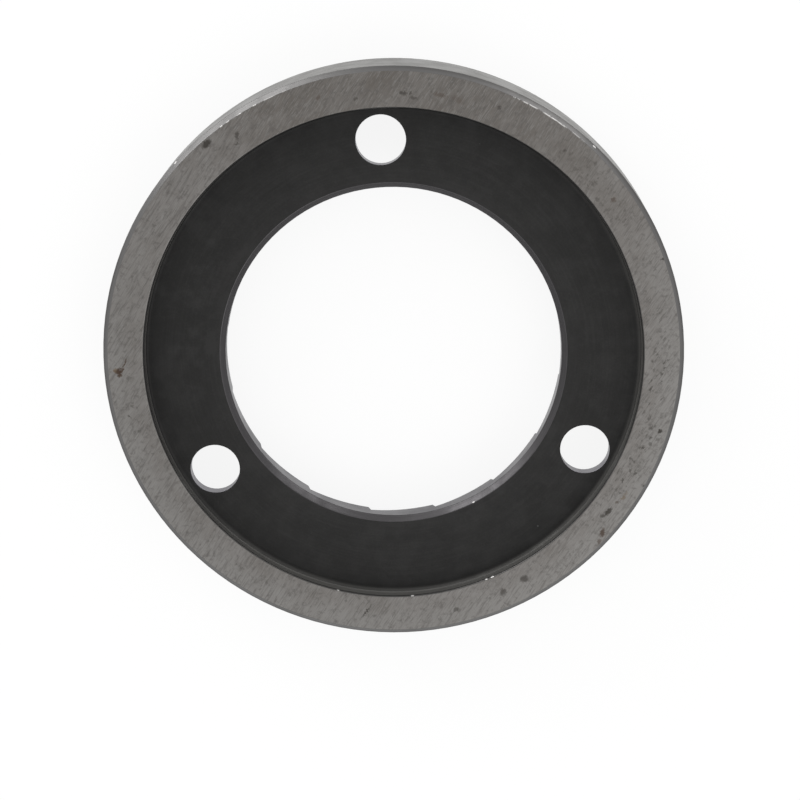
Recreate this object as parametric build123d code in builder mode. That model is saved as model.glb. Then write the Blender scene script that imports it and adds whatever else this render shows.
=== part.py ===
from build123d import *
import os
from math import atan, cos, pi, radians, sin, sqrt, tan

# Flat grinding burr, teeth down: the tooth lands lie on z = 0 and the ground back faces up.

# Turned ring
outer_dia = 64.0
bore_dia = 37.26
height = 8.64
recess_dia = 55.0
recess_depth = 1.6
outer_chamfer = 0.5
recess_lip_radius = 0.22
bore_chamfer = 0.57

# Screw holes, for countersunk screws put in from the tooth side
screw_count = 3
screw_circle_dia = 47.8
screw_hole_dia = 5.5
screw_first_angle = 93.3
screw_head_dia = 9.6
screw_head_drop = 3.4
screw_head_angle = 90.0

# Teeth: breaker teeth at the bore, each one feeding a few grinding teeth at the outside
breaker_count = 16
teeth_per_breaker = 3
tooth_start_angle = 0.9
groove_lean = 17.0
groove_run_out = 0.5
steep_angle = 18.0
grinding_flank_angle = 72.2
grinding_depth = 3.3
breaker_flank_angle = 64.0
breaker_start = 2.2
bore_wall = 1.5

# Sizes worked out from those above
outer_radius = outer_dia / 2
bore_radius = bore_dia / 2
recess_radius = recess_dia / 2
recess_floor = height - recess_depth
breaker_depth = recess_floor - bore_chamfer - bore_wall
tooth_count = breaker_count * teeth_per_breaker
tooth_pitch = pi * outer_dia / tooth_count
breaker_pitch = pi * bore_dia / breaker_count

# Seen from above, every groove runs inward on a straight line that leans away from the radius.
# It starts just outside the ring, so that it leaves a small notch in the outer edge.
start_radius = outer_radius + groove_run_out
start_angle = radians(tooth_start_angle)
line_angle = start_angle + pi - radians(groove_lean)
line_offset = start_radius * sin(radians(groove_lean))
line_length = start_radius * cos(radians(groove_lean)) - sqrt(bore_radius**2 - line_offset**2)


def groove_cutter(start, depth, flank_angle, pitch):
    """A V cutter with a steep side and a long flank, which sinks from the lands to depth at the bore."""
    slope = atan(depth / (line_length - start))
    x = start_radius * cos(start_angle) + start * cos(line_angle)
    y = start_radius * sin(start_angle) + start * sin(line_angle)
    along = (cos(slope) * cos(line_angle), cos(slope) * sin(line_angle), sin(slope))
    across = (sin(line_angle), -cos(line_angle), 0)
    steep_top = (-height * tan(radians(steep_angle)), height)
    flank_top = (pitch, pitch / tan(radians(flank_angle)))
    with BuildPart() as cutter:
        with BuildSketch(Plane(origin=(x, y, 0), x_dir=across, z_dir=along)):
            with BuildLine():
                Polyline((0, 0), steep_top, (pitch, height), flank_top, close=True)
            make_face()
        extrude(amount=line_length + pitch)
    return cutter.part


grinding_cutter = groove_cutter(0, grinding_depth, grinding_flank_angle, tooth_pitch)
breaker_cutter = groove_cutter(breaker_start, breaker_depth, breaker_flank_angle, breaker_pitch)

with BuildPart() as burr:
    # The ring is turned from the solid, with a shallow recess in its back
    with BuildSketch(Plane.XZ):
        with BuildLine():
            Polyline(
                (bore_radius, 0),
                (outer_radius, 0),
                (outer_radius, height),
                (recess_radius, height),
                (recess_radius, recess_floor),
                (bore_radius, recess_floor),
                close=True,
            )
        make_face()
    revolve(axis=Axis.Z)
    rims = burr.edges().filter_by(GeomType.CIRCLE).group_by(Axis.Z)
    back_edges = rims[-1].sort_by(SortBy.RADIUS)
    bore_edge = rims[1].sort_by(SortBy.RADIUS)[0]
    chamfer(back_edges[-1], length=outer_chamfer)
    fillet(back_edges[0], radius=recess_lip_radius)
    chamfer(bore_edge, length=bore_chamfer)

    # Each groove's flank reaches the next groove, so the teeth and their lands are what is left
    with PolarLocations(0, tooth_count):
        add(grinding_cutter, mode=Mode.SUBTRACT)
    with PolarLocations(0, breaker_count):
        add(breaker_cutter, mode=Mode.SUBTRACT)

    # The screws come from below and their heads sit under the teeth
    with Locations(Plane.XY.offset(screw_head_drop).rotated((180, 0, 0))):
        with PolarLocations(screw_circle_dia / 2, screw_count, start_angle=-screw_first_angle):
            CounterSinkHole(
                radius=screw_hole_dia / 2,
                counter_sink_radius=screw_head_dia / 2,
                depth=height,
                counter_sink_angle=screw_head_angle,
            )

burr.part.label = "burr"
os.makedirs("parts", exist_ok=True)
export_step(burr.part, "parts/burr.step")
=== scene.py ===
import math

import bmesh
import bpy
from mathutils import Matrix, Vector


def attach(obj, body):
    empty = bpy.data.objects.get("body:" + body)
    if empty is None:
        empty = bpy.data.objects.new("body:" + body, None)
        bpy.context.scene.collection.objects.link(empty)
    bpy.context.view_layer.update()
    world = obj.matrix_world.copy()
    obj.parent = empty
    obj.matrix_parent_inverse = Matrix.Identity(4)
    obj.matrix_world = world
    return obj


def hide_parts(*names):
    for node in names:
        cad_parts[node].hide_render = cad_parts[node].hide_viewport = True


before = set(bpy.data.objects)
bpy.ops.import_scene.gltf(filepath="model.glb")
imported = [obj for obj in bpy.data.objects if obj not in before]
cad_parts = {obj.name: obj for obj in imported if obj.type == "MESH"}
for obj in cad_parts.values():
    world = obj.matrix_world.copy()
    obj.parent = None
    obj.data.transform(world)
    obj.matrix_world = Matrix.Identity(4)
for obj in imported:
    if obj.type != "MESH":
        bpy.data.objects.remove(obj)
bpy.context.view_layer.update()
mm = 0.001


# ring: the CAD burr with softened edges, sizes in mm
ring = {
    "node": "burr",
    "outerRadius": 32.0,
    "recessRadius": 27.5,
    "boreRadius": 18.63,
    "height": 8.64,
    "recessFloor": 7.04,
    "outerChamfer": 0.5,
    "lipRadius": 0.22,
    "boreChamfer": 0.57,
    "holeRadius": 2.75,
    "seatRadius": 4.8,
    "holeCircle": 23.9,
    "holeAngles": (93.3, 213.3, 333.3),
    "edgeRound": 0.05,       # every turned edge is broken this much
    "footRound": 0.5,        # and the corner at the foot of the recess wall
    "roundSteps": 3,
    "footSteps": 5,
    "sharpAngle": 14,        # edges steeper than this stay crisp
    "slack": 0.02,           # how near a point has to lie to be on a circle
    "bend": 0.25,            # an edge of a circle bends at least this much, in radians
}


def onCircle(vert, radius, z):
    co = vert.co / mm
    return abs(math.hypot(co.x, co.y) - radius) < ring["slack"] and abs(co.z - z) < ring["slack"]


def circleEdges(bm, radius, z):
    return [e for e in bm.edges
            if all(onCircle(v, radius, z) for v in e.verts) and e.calc_face_angle(0) > ring["bend"]]


def holeCentres():
    for angle in ring["holeAngles"]:
        turn = math.radians(angle)
        yield Vector((math.cos(turn), math.sin(turn))) * ring["holeCircle"]


def holeEdges(bm):
    found = []
    for e in bm.edges:
        flat = [v.co.xy / mm for v in e.verts]
        level = all(abs(v.co.z / mm - ring["recessFloor"]) < ring["slack"] for v in e.verts)
        for centre in holeCentres():
            if level and all(abs((p - centre).length - ring["holeRadius"]) < ring["slack"] for p in flat):
                found.append(e)
    return found


def softenedRing():
    bm = bmesh.new()
    bm.from_mesh(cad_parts[ring["node"]].data)
    bmesh.ops.remove_doubles(bm, verts=bm.verts, dist=0.001 * mm)
    top, floor = ring["height"], ring["recessFloor"]
    outer, bore = ring["outerRadius"], ring["boreRadius"]
    side, wide = ring["outerChamfer"], ring["boreChamfer"]
    turned = [(outer - side, top), (outer, top - side), (bore + wide, floor), (bore, floor - wide)]
    edges = [e for radius, z in turned for e in circleEdges(bm, radius, z)] + holeEdges(bm)
    foot = circleEdges(bm, ring["recessRadius"], floor)
    for rounded, size, steps in ((edges, ring["edgeRound"], ring["roundSteps"]),
                                 (foot, ring["footRound"], ring["footSteps"])):
        bmesh.ops.bevel(bm, geom=rounded, offset=size * mm, offset_type="OFFSET", profile=0.5,
                        segments=steps, affect="EDGES", clamp_overlap=True)
    mesh = bpy.data.meshes.new("burrRing")
    bm.to_mesh(mesh)
    bm.free()
    piece = bpy.data.objects.new("burrRing", mesh)
    bpy.context.scene.collection.objects.link(piece)
    return piece


# nodes
def addNode(tree, kind, inputs=None, **props):
    made = tree.nodes.new(kind)
    for key, value in props.items():
        setattr(made, key, value)
    for key, value in (inputs or {}).items():
        if isinstance(value, bpy.types.NodeSocket):
            tree.links.new(value, made.inputs[key])
        else:
            made.inputs[key].default_value = value
    return made


def maths(tree, operation, a, b=0.0, clamp=False):
    return addNode(tree, "ShaderNodeMath", {0: a, 1: b}, operation=operation, use_clamp=clamp).outputs[0]


def vectorMaths(tree, operation, a, b=None, out=0):
    inputs = {0: a} if b is None else {0: a, 1: b}
    return addNode(tree, "ShaderNodeVectorMath", inputs, operation=operation).outputs[out]


def spread(tree, value, low, high, toLow=0.0, toHigh=1.0):
    inputs = {"Value": value, "From Min": low, "From Max": high, "To Min": toLow, "To Max": toHigh}
    return addNode(tree, "ShaderNodeMapRange", inputs, interpolation_type="SMOOTHSTEP").outputs[0]


def noise(tree, vector, scale=1.0, detail=2.0, rough=0.5):
    inputs = {"Vector": vector, "Scale": scale, "Detail": detail, "Roughness": rough}
    return addNode(tree, "ShaderNodeTexNoise", inputs).outputs["Fac"]


def stretched(tree, places, size):
    return vectorMaths(tree, "MULTIPLY", places, [1 / s for s in size])   # size of a fleck in mm


def joined(tree, x, y, z):
    return addNode(tree, "ShaderNodeCombineXYZ", {0: x, 1: y, 2: z}).outputs[0]


def mixColour(tree, amount, a, b):
    made = addNode(tree, "ShaderNodeMix", data_type="RGBA")
    for socket, value in ((0, amount), (6, a), (7, b)):
        if isinstance(value, bpy.types.NodeSocket):
            tree.links.new(value, made.inputs[socket])
        else:
            made.inputs[socket].default_value = value
    return made.outputs[2]


def awayFrom(tree, places, centre, size, turn=0.0):
    inputs = {"Vector": places, "Location": centre, "Scale": size, "Rotation": (0, 0, math.radians(turn))}
    inside = addNode(tree, "ShaderNodeMapping", inputs, vector_type="TEXTURE").outputs[0]
    return vectorMaths(tree, "LENGTH", inside, out="Value")   # 1 at the edge of the place


def nearTo(tree, places, centre, reach, span):
    away = awayFrom(tree, places, (*centre, 0), (*reach, 1000))   # at any height
    return spread(tree, away, *span)


def bump(tree, height, depth, strength=1.0, under=None):
    inputs = {"Height": height, "Distance": depth * mm, "Strength": strength}
    if under is not None:
        inputs["Normal"] = under
    return addNode(tree, "ShaderNodeBump", inputs).outputs[0]


def startFinish(name):
    finish = bpy.data.materials.new(name)
    finish.use_nodes = True
    tree = finish.node_tree
    tree.nodes.clear()
    out = addNode(tree, "ShaderNodeOutputMaterial")
    skin = addNode(tree, "ShaderNodeBsdfPrincipled")
    tree.links.new(skin.outputs[0], out.inputs["Surface"])
    metres = addNode(tree, "ShaderNodeTexCoord").outputs["Object"]
    places = vectorMaths(tree, "MULTIPLY", metres, (1 / mm,) * 3)   # in mm, as the dictionaries
    return finish, tree, skin, places


def polar(tree, places):
    parts = addNode(tree, "ShaderNodeSeparateXYZ", {0: places})
    flat = vectorMaths(tree, "MULTIPLY", places, (1, 1, 0))
    radius = vectorMaths(tree, "LENGTH", flat, out="Value")
    around = maths(tree, "ARCTAN2", parts.outputs[1], parts.outputs[0])
    return radius, around, parts.outputs[2]


def finishSkin(tree, skin, colour, rough, normal, metallic):
    skin.inputs["Metallic"].default_value = metallic
    tree.links.new(colour, skin.inputs["Base Color"])
    tree.links.new(rough, skin.inputs["Roughness"])
    tree.links.new(normal, skin.inputs["Normal"])


# bare steel: where the turned edges were knocked or rubbed bright
bareLines = {   # radius in mm, from and to in degrees, how bright
    "northWestFirst": (31.50, 125.6, 126.3, 0.55),
    "northWestSecond": (31.50, 124.0, 124.8, 0.45),
    "northWestThird": (31.50, 121.2, 122.6, 0.55),
    "northWestFourth": (31.50, 117.8, 118.6, 0.45),
    "northWestLong": (31.49, 113.9, 117.3, 0.30),
    "northWestLast": (31.52, 111.5, 112.1, 0.85),
    "northEastFirst": (31.47, 65.3, 65.9, 0.70),
    "northEastSecond": (31.47, 64.4, 65.0, 0.70),
    "northEastShort": (31.48, 60.4, 63.9, 0.85),
    "northEastLong": (31.48, 53.6, 59.4, 1.00),
    "eastFaint": (31.50, 49.1, 52.5, 0.35),
    "eastDot": (31.84, 46.7, 47.5, 1.00),
    "westDot": (31.90, 137.2, 137.9, 1.00),
    "lipWest": (27.55, 256.6, 257.2, 0.90),
    "lipSouth": (27.55, 274.1, 274.9, 1.00),
    "lipEast": (27.55, 292.0, 292.6, 0.80),
    "lipEastNext": (27.55, 293.4, 294.2, 0.90),
    "boreEast": (19.18, 297.5, 298.3, 0.90),
}
bare = {
    "colour": (0.56, 0.55, 0.54, 1),
    "halfWidth": (0.02, 0.085),   # full and gone, in mm
    "ends": (0.7, 1.1),           # the same along a line, in shares of its half length
    "gapScale": 2.4,
    "gapSpan": (0.34, 0.46),
    "above": 5.0,                 # not on the tooth lands below
}


def bareSteel(tree, places):
    radius, around, z = polar(tree, places)
    degrees = maths(tree, "FLOORED_MODULO", maths(tree, "MULTIPLY", around, 180 / math.pi), 360)
    most = None
    for reach, start, end, strength in bareLines.values():
        half = (end - start) / 2
        away = maths(tree, "ABSOLUTE", maths(tree, "SUBTRACT", degrees, (start + end) / 2))
        across = maths(tree, "ABSOLUTE", maths(tree, "SUBTRACT", radius, reach))
        full, gone = [half * share for share in bare["ends"]]
        line = maths(tree, "MULTIPLY", spread(tree, away, full, gone, strength, 0),
                     spread(tree, across, *bare["halfWidth"], 1, 0))
        most = line if most is None else maths(tree, "MAXIMUM", most, line)
    broken = spread(tree, noise(tree, places, scale=bare["gapScale"], detail=3), *bare["gapSpan"])
    upper = maths(tree, "GREATER_THAN", z, bare["above"])
    return maths(tree, "MULTIPLY", most, maths(tree, "MULTIPLY", broken, upper))


# ground steel: the back rim and the tooth lands
ground = {
    "colour": (0.184, 0.175, 0.167, 1),
    "streakDark": (0.100, 0.094, 0.089, 1),
    # light grinding streaks, and also the colour of the painted sheen
    "lightStreakAndSheen": (0.222, 0.217, 0.209, 1),
    "tarnish": (0.115, 0.104, 0.094, 1),
    "pitColour": (0.046, 0.042, 0.037, 1),
    "rustColour": (0.065, 0.043, 0.031, 1),
    "ochre": (0.125, 0.093, 0.063, 1),
    "grindTurn": 57,                     # direction of the grinding marks, degrees from X
    "streakSize": (1.6, 0.17, 1),        # sizes of flecks in mm
    "fineSize": (0.9, 0.08, 1),
    "dashSize": (0.70, 0.36, 1),
    "streakSpan": (0.32, 0.56, 0.62, 0),     # spans: noise from, to, and how much at each
    "fineSpan": (0.46, 0.74, 0, 0.58),
    "fleckSpan": (0.50, 0.74, 0, 0.64),
    "cloudSpan": (0.38, 0.68, 0, 0.40),
    "dashSpan": (0.55, 0.80, 0, 1),
    "rough": (0.38, 0.50),
    "roughSpan": (0.3, 0.7),
    "stainRough": 0.25,                  # rougher by this in the stains
    "stainEdge": (0.45, 1.25),           # a stain is full, then gone, in shares of its size
    "wobble": 0.65,                      # its outline wanders this much
    "wobbleScale": 4.2,
    "metallic": 1.0,
    "tarnishedAt": (2.0, 28.5),          # browner here
    "tarnishedReach": (26.0, 9.0),
    "tarnishedSpan": (0.5, 1.2, 0.50, 0),
    "sheenFrom": (28.6, 30.6, 0, 0.50),  # painted sheen, lighter towards the outer edge,
    "sheenBelow": (-2.0, 17.0, 1, 0),    # but less and less towards the top
    "pittedAt": (28.5, -8.0),            # pitted most on this side,
    "pittedReach": (8.0, 17.0),
    "pittedSpan": (0.4, 1.3, 0.8, 0.18),
    "pittedToo": (21.6, 19.0),           # and here, where it is also browner,
    "pittedTooReach": (8.0, 8.0),
    "pittedTooSpan": (0.4, 1.2, 0.8, 0),
    "soiled": 0.4,
    "pittedMiddle": 29.2,                # along the middle of the rim
    "pittedBand": (0.6, 1.9, 1, 0.2),
}

darkMarks = {   # stains on the rim, in mm: x, y, half length, half width, turn, how dark
    "blotNorthWest": (-20.1, 23.6, 0.70, 0.42, 40, 0.85),
    "blotBeside": (-16.8, 24.5, 0.26, 0.44, -10, 0.62),
    "blotBesideLow": (-16.9, 23.6, 0.30, 0.18, 40, 0.60),
    "dotNorth": (-4.0, 28.5, 0.28, 0.18, 60, 0.50),
    "smudgeNorth": (1.1, 29.1, 0.46, 0.28, -20, 0.62),
    "smudgeNorthDot": (1.8, 29.1, 0.20, 0.22, 0, 0.55),
    "smudgeNorthTail": (2.2, 28.6, 0.52, 0.18, -14, 0.45),
    "dotNorthEast": (11.4, 27.6, 0.26, 0.24, 20, 0.55),
    "tickEast": (29.3, 11.1, 0.26, 0.12, 15, 0.70),
    "dotWest": (-26.0, 14.7, 0.28, 0.22, 50, 0.35),
    "dotWestLow": (-28.9, -5.5, 0.18, 0.22, 80, 0.40),
    "dotWestLower": (-29.3, -6.7, 0.15, 0.16, 0, 0.60),
    "dotWestLowest": (-28.2, -8.4, 0.20, 0.18, 0, 0.40),
    "dotEast": (29.5, -8.2, 0.26, 0.26, 0, 0.85),
    "dotEastLow": (27.7, -10.1, 0.25, 0.22, 57, 0.65),
    "streakEast": (24.0, -17.5, 0.62, 0.28, 48, 0.80),
    "streakEastTail": (23.4, -18.0, 0.40, 0.26, 30, 0.60),
    "blotSouthEast": (14.7, -25.4, 0.52, 0.44, 20, 0.60),
    "blotSouth": (12.4, -27.0, 0.44, 0.40, 57, 0.55),
    "dashSouth": (7.0, -29.1, 0.44, 0.22, 50, 0.50),
    "scratchSouth": (-3.05, -29.3, 0.98, 0.11, 55, 0.75),
}

pits = {   # the small pits on the right of the rim, the same way
    "highest": (19.12, 22.61, 0.30, 0.20, 20, 0.24),
    "high": (19.61, 20.99, 0.38, 0.24, -50, 0.26),
    "highInner": (20.24, 20.08, 0.36, 0.18, -40, 0.28),
    "highMiddle": (21.57, 19.29, 0.34, 0.20, -60, 0.32),
    "highOuter": (21.76, 21.46, 0.30, 0.20, 70, 0.26),
    "highLow": (22.06, 17.65, 0.38, 0.18, -50, 0.30),
    "highLower": (22.53, 17.11, 0.30, 0.20, -50, 0.28),
    "highLowest": (23.16, 16.49, 0.26, 0.20, 0, 0.28),
    "highSide": (25.10, 16.46, 0.30, 0.18, 57, 0.28),
    "highDash": (24.25, 15.62, 0.34, 0.15, 57, 0.28),
    "upper": (29.0, 0.4, 0.24, 0.13, 0, 0.40),
    "upperDot": (29.5, -1.7, 0.20, 0.18, 40, 0.55),
    "upperDash": (29.8, -1.2, 0.24, 0.10, 60, 0.40),
    "beside": (28.3, -3.5, 0.22, 0.18, 30, 0.45),
    "dash": (28.2, -6.8, 0.26, 0.11, 75, 0.45),
    "cluster": (28.5, -7.9, 0.32, 0.22, 20, 0.55),
    "clusterDash": (28.9, -7.7, 0.26, 0.13, 50, 0.45),
    "middleDash": (28.05, -8.7, 0.24, 0.12, 70, 0.45),
    "middle": (28.5, -9.0, 0.20, 0.19, 57, 0.60),
    "middleOuter": (29.2, -9.2, 0.24, 0.20, 30, 0.30),
    "middleLow": (28.5, -9.7, 0.19, 0.19, 0, 0.45),
    "inner": (27.3, -10.1, 0.24, 0.13, 50, 0.45),
    "lowDash": (26.7, -11.7, 0.26, 0.13, -50, 0.45),
    "lowDashInner": (26.5, -11.5, 0.26, 0.11, 70, 0.40),
    "lower": (26.3, -12.8, 0.26, 0.13, 75, 0.50),
    "lowerDot": (26.9, -13.1, 0.24, 0.21, 20, 0.60),
    "lowerStreak": (25.5, -13.9, 0.34, 0.14, 75, 0.60),
    "edgeDot": (27.9, -14.5, 0.18, 0.15, 30, 0.45),
    "last": (25.25, -15.4, 0.24, 0.11, 50, 0.40),
}

rustMarks = {
    "blotWest": (-30.28, -1.62, 0.46, 0.36, 20, 0.90),
    "blotWestLow": (-30.20, -2.02, 0.26, 0.26, 60, 0.85),
    "blotWestSide": (-29.87, -1.42, 0.22, 0.20, 0, 0.80),
    "blotWestTail": (-29.65, -0.75, 0.66, 0.12, 68, 0.80),
    "dotNorthWest": (-8.1, 28.6, 0.30, 0.26, 0, 0.38),
    "smearNorth": (5.0, 28.9, 0.90, 0.26, -14, 0.34),
    "smearNorthEast": (6.9, 28.4, 0.80, 0.40, -24, 0.26),
    "dotEastHigh": (23.8, 17.6, 0.34, 0.32, 30, 0.50),
    "dotEastLow": (24.9, -16.4, 0.24, 0.18, 30, 0.50),
    "spotSouthEast": (23.4, -20.0, 0.30, 0.58, -8, 0.75),
    "spotSouthEastLow": (23.0, -21.0, 0.25, 0.32, 0, 0.55),
}

ochreMarks = {
    "lobeWest": (-30.66, -1.46, 0.24, 0.24, 0, 0.75),
    "smearEast": (25.6, -15.9, 0.40, 0.20, 40, 0.55),
    "smearEastHigh": (25.9, -15.4, 0.30, 0.18, 40, 0.30),
}


def stains(tree, places, marks):
    most = None
    for x, y, length, width, turn, depth in marks.values():
        away = awayFrom(tree, places, (x, y, ring["height"]), (length, width, 1), turn)
        stain = spread(tree, away, *ground["stainEdge"], depth, 0)
        most = stain if most is None else maths(tree, "MAXIMUM", most, stain)
    return most


def groundFinish():
    finish, tree, skin, places = startFinish("groundSteel")
    turned = {"Vector": places, "Angle": -math.radians(ground["grindTurn"])}
    along = addNode(tree, "ShaderNodeVectorRotate", turned, rotation_type="Z_AXIS").outputs[0]
    streaks = noise(tree, stretched(tree, along, ground["streakSize"]), detail=3, rough=0.6)
    fine = noise(tree, stretched(tree, along, ground["fineSize"]))
    clouds = noise(tree, places, scale=0.24, detail=4, rough=0.6)
    flecks = noise(tree, places, scale=1.9, detail=3, rough=0.65)
    browner = nearTo(tree, places, ground["tarnishedAt"], ground["tarnishedReach"],
                     ground["tarnishedSpan"])
    browner = maths(tree, "ADD", browner, spread(tree, clouds, *ground["cloudSpan"]), clamp=True)
    colour = mixColour(tree, browner, ground["colour"], ground["tarnish"])
    radius = polar(tree, places)[0]
    up = vectorMaths(tree, "DOT_PRODUCT", places, (0, 1, 0), out="Value")
    # painted reflection: the rim is lighter towards its outer edge, more so towards the bottom
    sheen = maths(tree, "MULTIPLY", spread(tree, radius, *ground["sheenFrom"]),
                    spread(tree, up, *ground["sheenBelow"]))
    colour = mixColour(tree, sheen, colour, ground["lightStreakAndSheen"])
    colour = mixColour(tree, spread(tree, streaks, *ground["streakSpan"]), colour, ground["streakDark"])
    colour = mixColour(tree, spread(tree, fine, *ground["fineSpan"]), colour, ground["lightStreakAndSheen"])
    colour = mixColour(tree, spread(tree, flecks, *ground["fleckSpan"]), colour, ground["streakDark"])

    dashes = noise(tree, stretched(tree, along, ground["dashSize"]), detail=3, rough=0.6)
    pitted = nearTo(tree, places, ground["pittedAt"], ground["pittedReach"], ground["pittedSpan"])
    pittedToo = nearTo(tree, places, ground["pittedToo"], ground["pittedTooReach"],
                       ground["pittedTooSpan"])
    pitted = maths(tree, "MAXIMUM", pitted, pittedToo)
    off = maths(tree, "ABSOLUTE", maths(tree, "SUBTRACT", radius, ground["pittedMiddle"]))
    banded = spread(tree, off, *ground["pittedBand"])
    specks = maths(tree, "MULTIPLY", spread(tree, dashes, *ground["dashSpan"]),
                   maths(tree, "MULTIPLY", pitted, banded))
    soiled = maths(tree, "MULTIPLY", maths(tree, "MULTIPLY", pittedToo, banded), ground["soiled"])
    colour = mixColour(tree, soiled, colour, ground["tarnish"])
    colour = mixColour(tree, specks, colour, ground["pitColour"])

    inputs = {"Vector": places, "Scale": ground["wobbleScale"], "Detail": 4}
    wobble = addNode(tree, "ShaderNodeTexNoise", inputs).outputs["Color"]
    shift = vectorMaths(tree, "SUBTRACT", wobble, (0.5, 0.5, 0.5))
    shift = vectorMaths(tree, "MULTIPLY", shift, (ground["wobble"], ground["wobble"], 0))
    shaky = vectorMaths(tree, "ADD", places, shift)
    dark = maths(tree, "MAXIMUM", stains(tree, shaky, darkMarks), stains(tree, shaky, pits))
    rust = stains(tree, shaky, rustMarks)
    colour = mixColour(tree, dark, colour, ground["pitColour"])
    colour = mixColour(tree, rust, colour, ground["rustColour"])
    colour = mixColour(tree, stains(tree, shaky, ochreMarks), colour, ground["ochre"])
    colour = mixColour(tree, bareSteel(tree, places), colour, bare["colour"])

    sunk = maths(tree, "MAXIMUM", maths(tree, "MAXIMUM", dark, rust), specks)
    rough = maths(tree, "ADD", spread(tree, streaks, *ground["roughSpan"], *ground["rough"]),
                  maths(tree, "MULTIPLY", sunk, ground["stainRough"]), clamp=True)
    normal = bump(tree, streaks, depth=0.006, strength=0.5)
    normal = bump(tree, fine, depth=0.003, strength=0.5, under=normal)
    normal = bump(tree, maths(tree, "SUBTRACT", 1.0, specks), depth=0.02, strength=0.5, under=normal)
    finishSkin(tree, skin, colour, rough, normal, ground["metallic"])
    return finish


# dark scale: the floor of the recess, turned and left black from hardening
scale = {
    "colour": (0.0224, 0.0221, 0.0217, 1),
    "rubbed": (0.0304, 0.0299, 0.0295, 1),
    "deep": (0.0140, 0.0138, 0.0136, 1),
    "dust": (0.14, 0.14, 0.14, 1),
    "rubbedAt": (-20.5, 7.0),            # handled most on this side
    "rubbedReach": (6.0, 14.0),
    "rubbedSpan": (0.2, 1.2, 0.8, 0.25),
    "boreGlow": (19.2, 22.5, 0.45, 0),   # lighter from the bore outwards to here
    "wallShade": (23.5, 26.6, 0, 0.3),   # and darker from here to the wall
    "foot": (0.0439, 0.0430, 0.0411, 1),     # the rounded foot of the wall is lighter,
    "footFrom": (26.85, 27.25),
    "footAt": (0.64, -0.77),             # most of all on this side,
    "footSpan": (-14, 16),               # fading over this many mm across the ring
    "lineSize": 0.26,
    "lineSpan": (0.42, 0.70, 0, 0.35),
    "cloudSpan": (0.40, 0.72),
    "grainSpan": (0.42, 0.72, 0, 0.45),
    "dustScale": 0.30,
    "dustSize": (0.014, 0.034, 1, 0),
    "dustChance": (0.45, 0.95, 0, 0.5),
    "rough": (0.58, 0.46),               # smoother where it is rubbed
    "roughSpan": (0.35, 0.70),
    "metallic": 0.9,
}


def scaleFinish():
    finish, tree, skin, places = startFinish("blackScale")
    radius, around, z = polar(tree, places)
    per = 1 / scale["lineSize"]
    rings = joined(tree, maths(tree, "MULTIPLY", radius, per), maths(tree, "MULTIPLY", around, 3.0),
                   maths(tree, "MULTIPLY", z, per))
    lines = noise(tree, rings, detail=3, rough=0.6)
    clouds = noise(tree, places, scale=0.5, detail=4, rough=0.6)
    grain = noise(tree, places, scale=5.0, detail=3, rough=0.7)
    handled = nearTo(tree, places, scale["rubbedAt"], scale["rubbedReach"], scale["rubbedSpan"])
    rubbed = maths(tree, "MULTIPLY", spread(tree, clouds, *scale["cloudSpan"]), handled)
    rubbed = maths(tree, "ADD", rubbed, spread(tree, radius, *scale["boreGlow"]))
    rubbed = maths(tree, "ADD", rubbed, spread(tree, lines, *scale["lineSpan"]))
    rubbed = maths(tree, "ADD", rubbed, spread(tree, grain, *scale["grainSpan"]), clamp=True)
    colour = mixColour(tree, rubbed, scale["colour"], scale["rubbed"])
    colour = mixColour(tree, spread(tree, radius, *scale["wallShade"]), colour, scale["deep"])
    aside = vectorMaths(tree, "DOT_PRODUCT", places, (*scale["footAt"], 0), out="Value")
    foot = maths(tree, "MULTIPLY", spread(tree, radius, *scale["footFrom"]),
                 spread(tree, aside, *scale["footSpan"]))
    colour = mixColour(tree, foot, colour, scale["foot"])
    dots = addNode(tree, "ShaderNodeTexVoronoi", {"Vector": places, "Scale": scale["dustScale"]}).outputs
    chance = addNode(tree, "ShaderNodeSeparateColor", {0: dots["Color"]}).outputs[0]
    dust = maths(tree, "MULTIPLY", spread(tree, dots["Distance"], *scale["dustSize"]),
                 spread(tree, chance, *scale["dustChance"]))
    colour = mixColour(tree, dust, colour, scale["dust"])
    rough = spread(tree, clouds, *scale["roughSpan"], *scale["rough"])
    normal = bump(tree, lines, depth=0.005, strength=0.5)
    normal = bump(tree, grain, depth=0.006, strength=0.5, under=normal)
    finishSkin(tree, skin, colour, rough, normal, scale["metallic"])
    return finish


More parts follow.
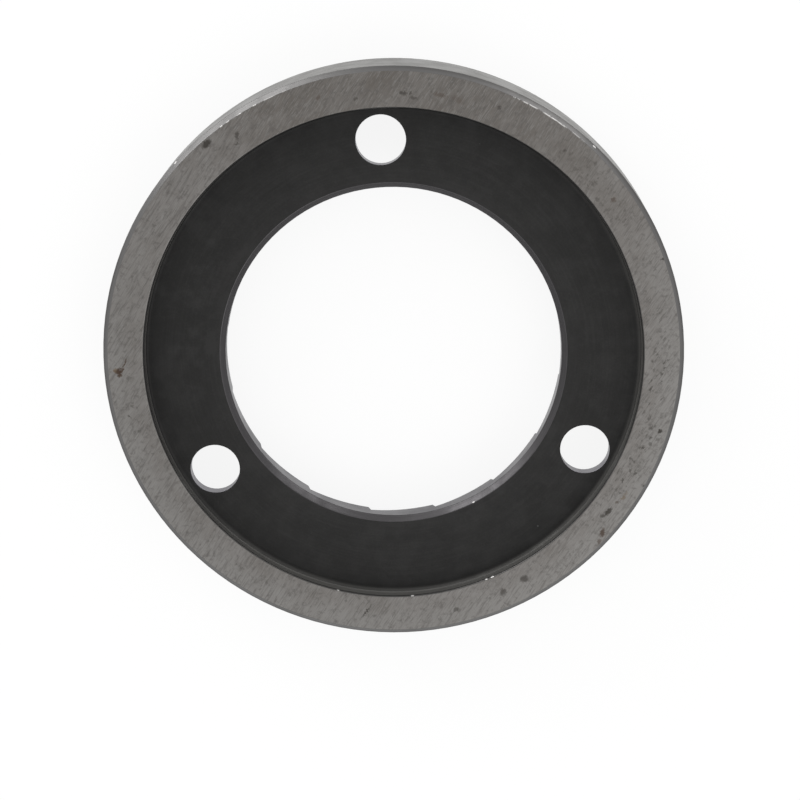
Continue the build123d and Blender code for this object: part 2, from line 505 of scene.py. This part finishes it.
# turned steel: outer side, chamfers, recess wall and bore, with the fine lines of the lathe
turnedSkins = {
    "turnedSide": {"colour": (0.193, 0.189, 0.180, 1), "dark": (0.154, 0.151, 0.144, 1),
                   "rough": (0.36, 0.48), "metallic": 1.0},
    "turnedEdge": {"colour": (0.140, 0.137, 0.136, 1), "dark": (0.114, 0.112, 0.110, 1),
                   "rough": (0.32, 0.42), "metallic": 1.0, "rubbed": True,
                   "shadedEdge": (31.60, 31.95),       # painted shade, darker from here to the corner of the side,
                   "litFrom": (-0.57, 0.82),         # but not on this side, where the light falls,
                   "litSpan": (24, 29, 0.40, 0)},  # fading over these mm across the ring
    "turnedLip": {"colour": (0.070, 0.068, 0.067, 1), "dark": (0.049, 0.048, 0.047, 1),
                  "rough": (0.34, 0.46), "metallic": 1.0, "rubbed": True},
    "turnedWall": {"colour": (0.109, 0.107, 0.101, 1), "dark": (0.070, 0.068, 0.065, 1),
                   "rough": (0.48, 0.60), "metallic": 0.35,
                   "litAt": (0.25, -0.97),          # painted shade, darker on the side away from here, where the light falls,
                   "shadedSpan": (-6, 22, 0.75, 0)},   # fading over these mm across the ring
    "turnedBore": {"colour": (0.157, 0.153, 0.161, 1), "dark": (0.116, 0.113, 0.119, 1),
                   "rough": (0.34, 0.46), "metallic": 1.0},
    "turnedBoreEdge": {"colour": (0.082, 0.079, 0.082, 1), "dark": (0.058, 0.056, 0.058, 1),
                       "rough": (0.34, 0.46), "metallic": 1.0, "rubbed": True},
    "turnedHole": {"colour": (0.167, 0.161, 0.178, 1), "dark": (0.126, 0.122, 0.136, 1),
                   "rough": (0.30, 0.40), "metallic": 1.0},
}
lathe = {
    "lineSize": 0.10,
    "lineSpan": (0.35, 0.62, 0.5, 0),
    "cloudSpan": (0.40, 0.70, 0, 0.4),
    # also the colour of the painted shade on the outer chamfer and the recess wall
    "specks": (0.05, 0.047, 0.045, 1),
    "speckSpan": (0.66, 0.76, 0, 0.4),
    "roughSpan": (0.35, 0.70),
}


def turnedFinish(name):
    tone = turnedSkins[name]
    finish, tree, skin, places = startFinish(name)
    radius, around, z = polar(tree, places)
    per = 1 / lathe["lineSize"]
    rings = joined(tree, maths(tree, "MULTIPLY", z, per), maths(tree, "MULTIPLY", radius, per),
                   maths(tree, "MULTIPLY", around, 4.0))
    lines = noise(tree, rings, detail=3, rough=0.6)
    clouds = noise(tree, places, scale=0.3, detail=4, rough=0.6)
    grain = noise(tree, places, scale=3.4, detail=3, rough=0.7)
    colour = mixColour(tree, spread(tree, lines, *lathe["lineSpan"]), tone["colour"], tone["dark"])
    colour = mixColour(tree, spread(tree, clouds, *lathe["cloudSpan"]), colour, tone["dark"])
    specks = spread(tree, grain, *lathe["speckSpan"])
    colour = mixColour(tree, specks, colour, lathe["specks"])
    # painted shade on the outer corner of the chamfer, in the speck colour, away from the lit side
    if "shadedEdge" in tone:
        aside = vectorMaths(tree, "DOT_PRODUCT", places, (*tone["litFrom"], 0), out="Value")
        edgeShade = maths(tree, "MULTIPLY", spread(tree, radius, *tone["shadedEdge"]),
                       spread(tree, aside, *tone["litSpan"]))
        colour = mixColour(tree, edgeShade, colour, lathe["specks"])
    # painted shade on the wall away from the lit side, in the speck colour
    if "litAt" in tone:
        aside = vectorMaths(tree, "DOT_PRODUCT", places, (*tone["litAt"], 0), out="Value")
        colour = mixColour(tree, spread(tree, aside, *tone["shadedSpan"]), colour, lathe["specks"])
    if tone.get("rubbed"):
        colour = mixColour(tree, bareSteel(tree, places), colour, bare["colour"])
    rough = spread(tree, clouds, *lathe["roughSpan"], *tone["rough"])
    normal = bump(tree, lines, depth=0.006, strength=0.6)
    normal = bump(tree, maths(tree, "SUBTRACT", 1.0, specks), depth=0.015, strength=0.5, under=normal)
    finishSkin(tree, skin, colour, rough, normal, tone["metallic"])
    return finish


# milled steel: the flanks of the teeth and the screw head seats
milled = {
    "colour": (0.088, 0.086, 0.085, 1),
    "dark": (0.050, 0.049, 0.048, 1),
    "middle": 24,             # the cutter lines have their true width this far out
    "lean": 0.42,             # how much they lean away from the radius
    "lineSize": 0.22,
    "lineSpan": (0.35, 0.65, 0.5, 0),
    "cloudSpan": (0.4, 0.7, 0, 0.25),
    "rough": (0.38, 0.55),
    "roughSpan": (0.35, 0.70),
    "metallic": 1.0,
}


def milledFinish():
    finish, tree, skin, places = startFinish("milledFlank")
    radius, around, z = polar(tree, places)
    across = maths(tree, "ADD", maths(tree, "MULTIPLY", around, milled["middle"]),
                   maths(tree, "MULTIPLY", radius, milled["lean"]))
    cuts = joined(tree, maths(tree, "MULTIPLY", across, 1 / milled["lineSize"]),
                  maths(tree, "MULTIPLY", radius, 0.25), maths(tree, "MULTIPLY", z, 1.5))
    lines = noise(tree, cuts, detail=3, rough=0.6)
    clouds = noise(tree, places, scale=0.4, detail=4, rough=0.6)
    amount = maths(tree, "ADD", spread(tree, lines, *milled["lineSpan"]),
                   spread(tree, clouds, *milled["cloudSpan"]), clamp=True)
    colour = mixColour(tree, amount, milled["colour"], milled["dark"])
    rough = spread(tree, clouds, *milled["roughSpan"], *milled["rough"])
    normal = bump(tree, lines, depth=0.010, strength=0.6)
    finishSkin(tree, skin, colour, rough, normal, milled["metallic"])
    return finish


# which finish each face of the ring takes, from where it lies and where it looks
finishes = ("groundSteel", "blackScale", "milledFlank", *turnedSkins)
near = {   # slack in mm at each kind of face
    "top": 0.08,
    "land": 0.02,
    "hole": 0.06,
    "seat": 0.05,
    "side": 0.03,
    "chamfer": 0.05,
    "wall": 0.02,
    "foot": 0.1,
    "bore": 0.06,
}


def fromHole(face):
    return min((face.center.xy / mm - c).length for c in holeCentres())


def finishOf(face):
    centre, look = face.center / mm, face.normal
    radius = math.hypot(centre.x, centre.y)
    outward = look.dot(Vector((centre.x, centre.y, 0)).normalized())
    top, floor = ring["height"], ring["recessFloor"]
    inHole = fromHole(face) < ring["holeRadius"] + near["hole"]
    onRim = radius > ring["recessRadius"] - near["wall"]
    onFoot = radius > ring["recessRadius"] - ring["footRound"]
    if look.z > 0.93 and centre.z > top - near["top"]:
        return "groundSteel"
    if look.z < -0.995 and centre.z < near["land"]:
        return "groundSteel"
    if inHole and abs(look.z) < 0.95:
        return "turnedHole"
    if radius > ring["outerRadius"] - near["side"] and outward > 0.97:
        return "turnedSide"
    if onRim and centre.z > top - ring["outerChamfer"] - near["chamfer"] and outward > 0:
        return "turnedEdge"
    if onFoot and floor - near["foot"] < centre.z < floor + ring["footRound"]:
        return "blackScale" if look.z > 0.55 else "turnedWall"   # the foot is half floor, half wall
    if onRim and centre.z > floor and outward < 0:
        return "turnedLip" if centre.z > top - ring["lipRadius"] else "turnedWall"
    if radius < ring["boreRadius"] + ring["boreChamfer"] + near["bore"]:
        if outward < -0.1 and look.z > 0.3:
            return "turnedBoreEdge"
        if outward < -0.95:
            return "turnedBore"
    if centre.z > floor - near["foot"] and look.z > 0.5:
        return "blackScale"
    return "milledFlank"


burrRing = softenedRing()
print("ring softened:", len(burrRing.data.polygons), "faces")

made = {"groundSteel": groundFinish(), "blackScale": scaleFinish(), "milledFlank": milledFinish()}
for name in turnedSkins:
    made[name] = turnedFinish(name)
for name in finishes:
    burrRing.data.materials.append(made[name])
for face in burrRing.data.polygons:
    face.material_index = finishes.index(finishOf(face))
taken = [face.material_index for face in burrRing.data.polygons]
print("finishes:", {name: taken.count(i) for i, name in enumerate(finishes)})

flank = finishes.index("milledFlank")
for face in burrRing.data.polygons:   # the flanks are flat, the seats in them are round
    inSeat = fromHole(face) < ring["seatRadius"] + near["seat"]
    face.use_smooth = face.material_index != flank or inSeat
burrRing.data.set_sharp_from_angle(angle=math.radians(ring["sharpAngle"]))
weighted = burrRing.modifiers.new("flatFaces", "WEIGHTED_NORMAL")   # flats stay flat beside the rounds
weighted.keep_sharp = True
weighted.weight = 100
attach(burrRing, "root")
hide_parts(ring["node"])
print("ring dressed:", [m.name for m in burrRing.data.materials])


# floor: plain white, its own glow keeps it white to the eye and in the metal, the rest takes the shadow
floor = {
    "radius": 4.0,            # in metres
    "below": 0.01,            # mm under the tooth lands
    "colour": (0.94, 0.94, 0.94, 1),
    "glow": (1, 1, 1, 1),
    "glowShare": 0.88,
}


def seenBy(tree):   # 1 for the eye and for what the metal mirrors
    path = addNode(tree, "ShaderNodeLightPath").outputs
    seen = maths(tree, "MAXIMUM", path["Is Camera Ray"], path["Is Glossy Ray"])
    return maths(tree, "MAXIMUM", seen, path["Is Transmission Ray"])


def floorFinish():
    finish = bpy.data.materials.new("paleFloor")
    finish.use_nodes = True
    tree = finish.node_tree
    tree.nodes.clear()
    out = addNode(tree, "ShaderNodeOutputMaterial")
    matt = addNode(tree, "ShaderNodeBsdfDiffuse", {"Color": floor["colour"]})
    glow = addNode(tree, "ShaderNodeEmission", {"Color": floor["glow"], "Strength": 1.0})
    share = maths(tree, "MULTIPLY", seenBy(tree), floor["glowShare"])
    mixed = addNode(tree, "ShaderNodeMixShader", {0: share, 1: matt.outputs[0], 2: glow.outputs[0]})
    tree.links.new(mixed.outputs[0], out.inputs["Surface"])
    return finish


def layFloor():
    bm = bmesh.new()
    bmesh.ops.create_circle(bm, cap_ends=True, segments=64, radius=floor["radius"])
    mesh = bpy.data.meshes.new("floor")
    bm.to_mesh(mesh)
    bm.free()
    mesh.materials.append(floorFinish())
    piece = bpy.data.objects.new("floor", mesh)
    piece.location.z = -floor["below"] * mm
    bpy.context.scene.collection.objects.link(piece)


layFloor()
print("floor laid")


# light: a pale room that is white to the eye and in the metal, and soft boxes, places in metres
room = {"colour": (0.92, 0.92, 0.92, 1), "backdrop": (1, 1, 1, 1)}
softBoxes = {   # name: place, side, watts
    "softTop": ((0.34, -0.34, 0.64), 0.50, 0.9),
    "lowLeft": ((-0.45, 0.54, 0.14), 0.50, 2.8),
    "lowRight": ((0.42, 0.56, 0.14), 0.28, 0.6),
}


def lightRoom():
    world = bpy.data.worlds.new("studio")
    world.use_nodes = True
    tree = world.node_tree
    tree.nodes.clear()
    out = addNode(tree, "ShaderNodeOutputWorld")
    walls = addNode(tree, "ShaderNodeBackground", {"Color": room["colour"], "Strength": 1.0})
    backdrop = addNode(tree, "ShaderNodeBackground", {"Color": room["backdrop"], "Strength": 1.0})
    both = {0: seenBy(tree), 1: walls.outputs[0], 2: backdrop.outputs[0]}
    mixed = addNode(tree, "ShaderNodeMixShader", both)
    tree.links.new(mixed.outputs[0], out.inputs["Surface"])
    bpy.context.scene.world = world
    for name, (place, side, watts) in softBoxes.items():
        lamp = bpy.data.lights.new(name, "AREA")
        lamp.energy = watts
        lamp.size = side
        box = bpy.data.objects.new(name, lamp)
        box.location = place
        box.rotation_euler = (-Vector(place)).to_track_quat("-Z", "Y").to_euler()
        bpy.context.scene.collection.objects.link(box)


lightRoom()
print("lights set:", ", ".join(softBoxes))


# camera: looks down on the back as the photo does
view = {
    "place": (0.00345, 0.05839, 0.2668),   # in metres
    "tilt": (-13.742, 0.602, 0.0),         # in degrees
    "lens": 108.28,
    "sensor": 36.0,
    "nearest": 0.01,
}


def setCamera():
    lens = bpy.data.cameras.new("photoView")
    lens.lens = view["lens"]
    lens.sensor_width = view["sensor"]
    lens.clip_start = view["nearest"]
    camera = bpy.data.objects.new("photoView", lens)
    camera.location = view["place"]
    camera.rotation_euler = [math.radians(a) for a in view["tilt"]]
    bpy.context.scene.collection.objects.link(camera)
    bpy.context.scene.camera = camera


setCamera()
bpy.context.scene.view_settings.view_transform = "Standard"
print("camera set")

bpy.context.view_layer.update()
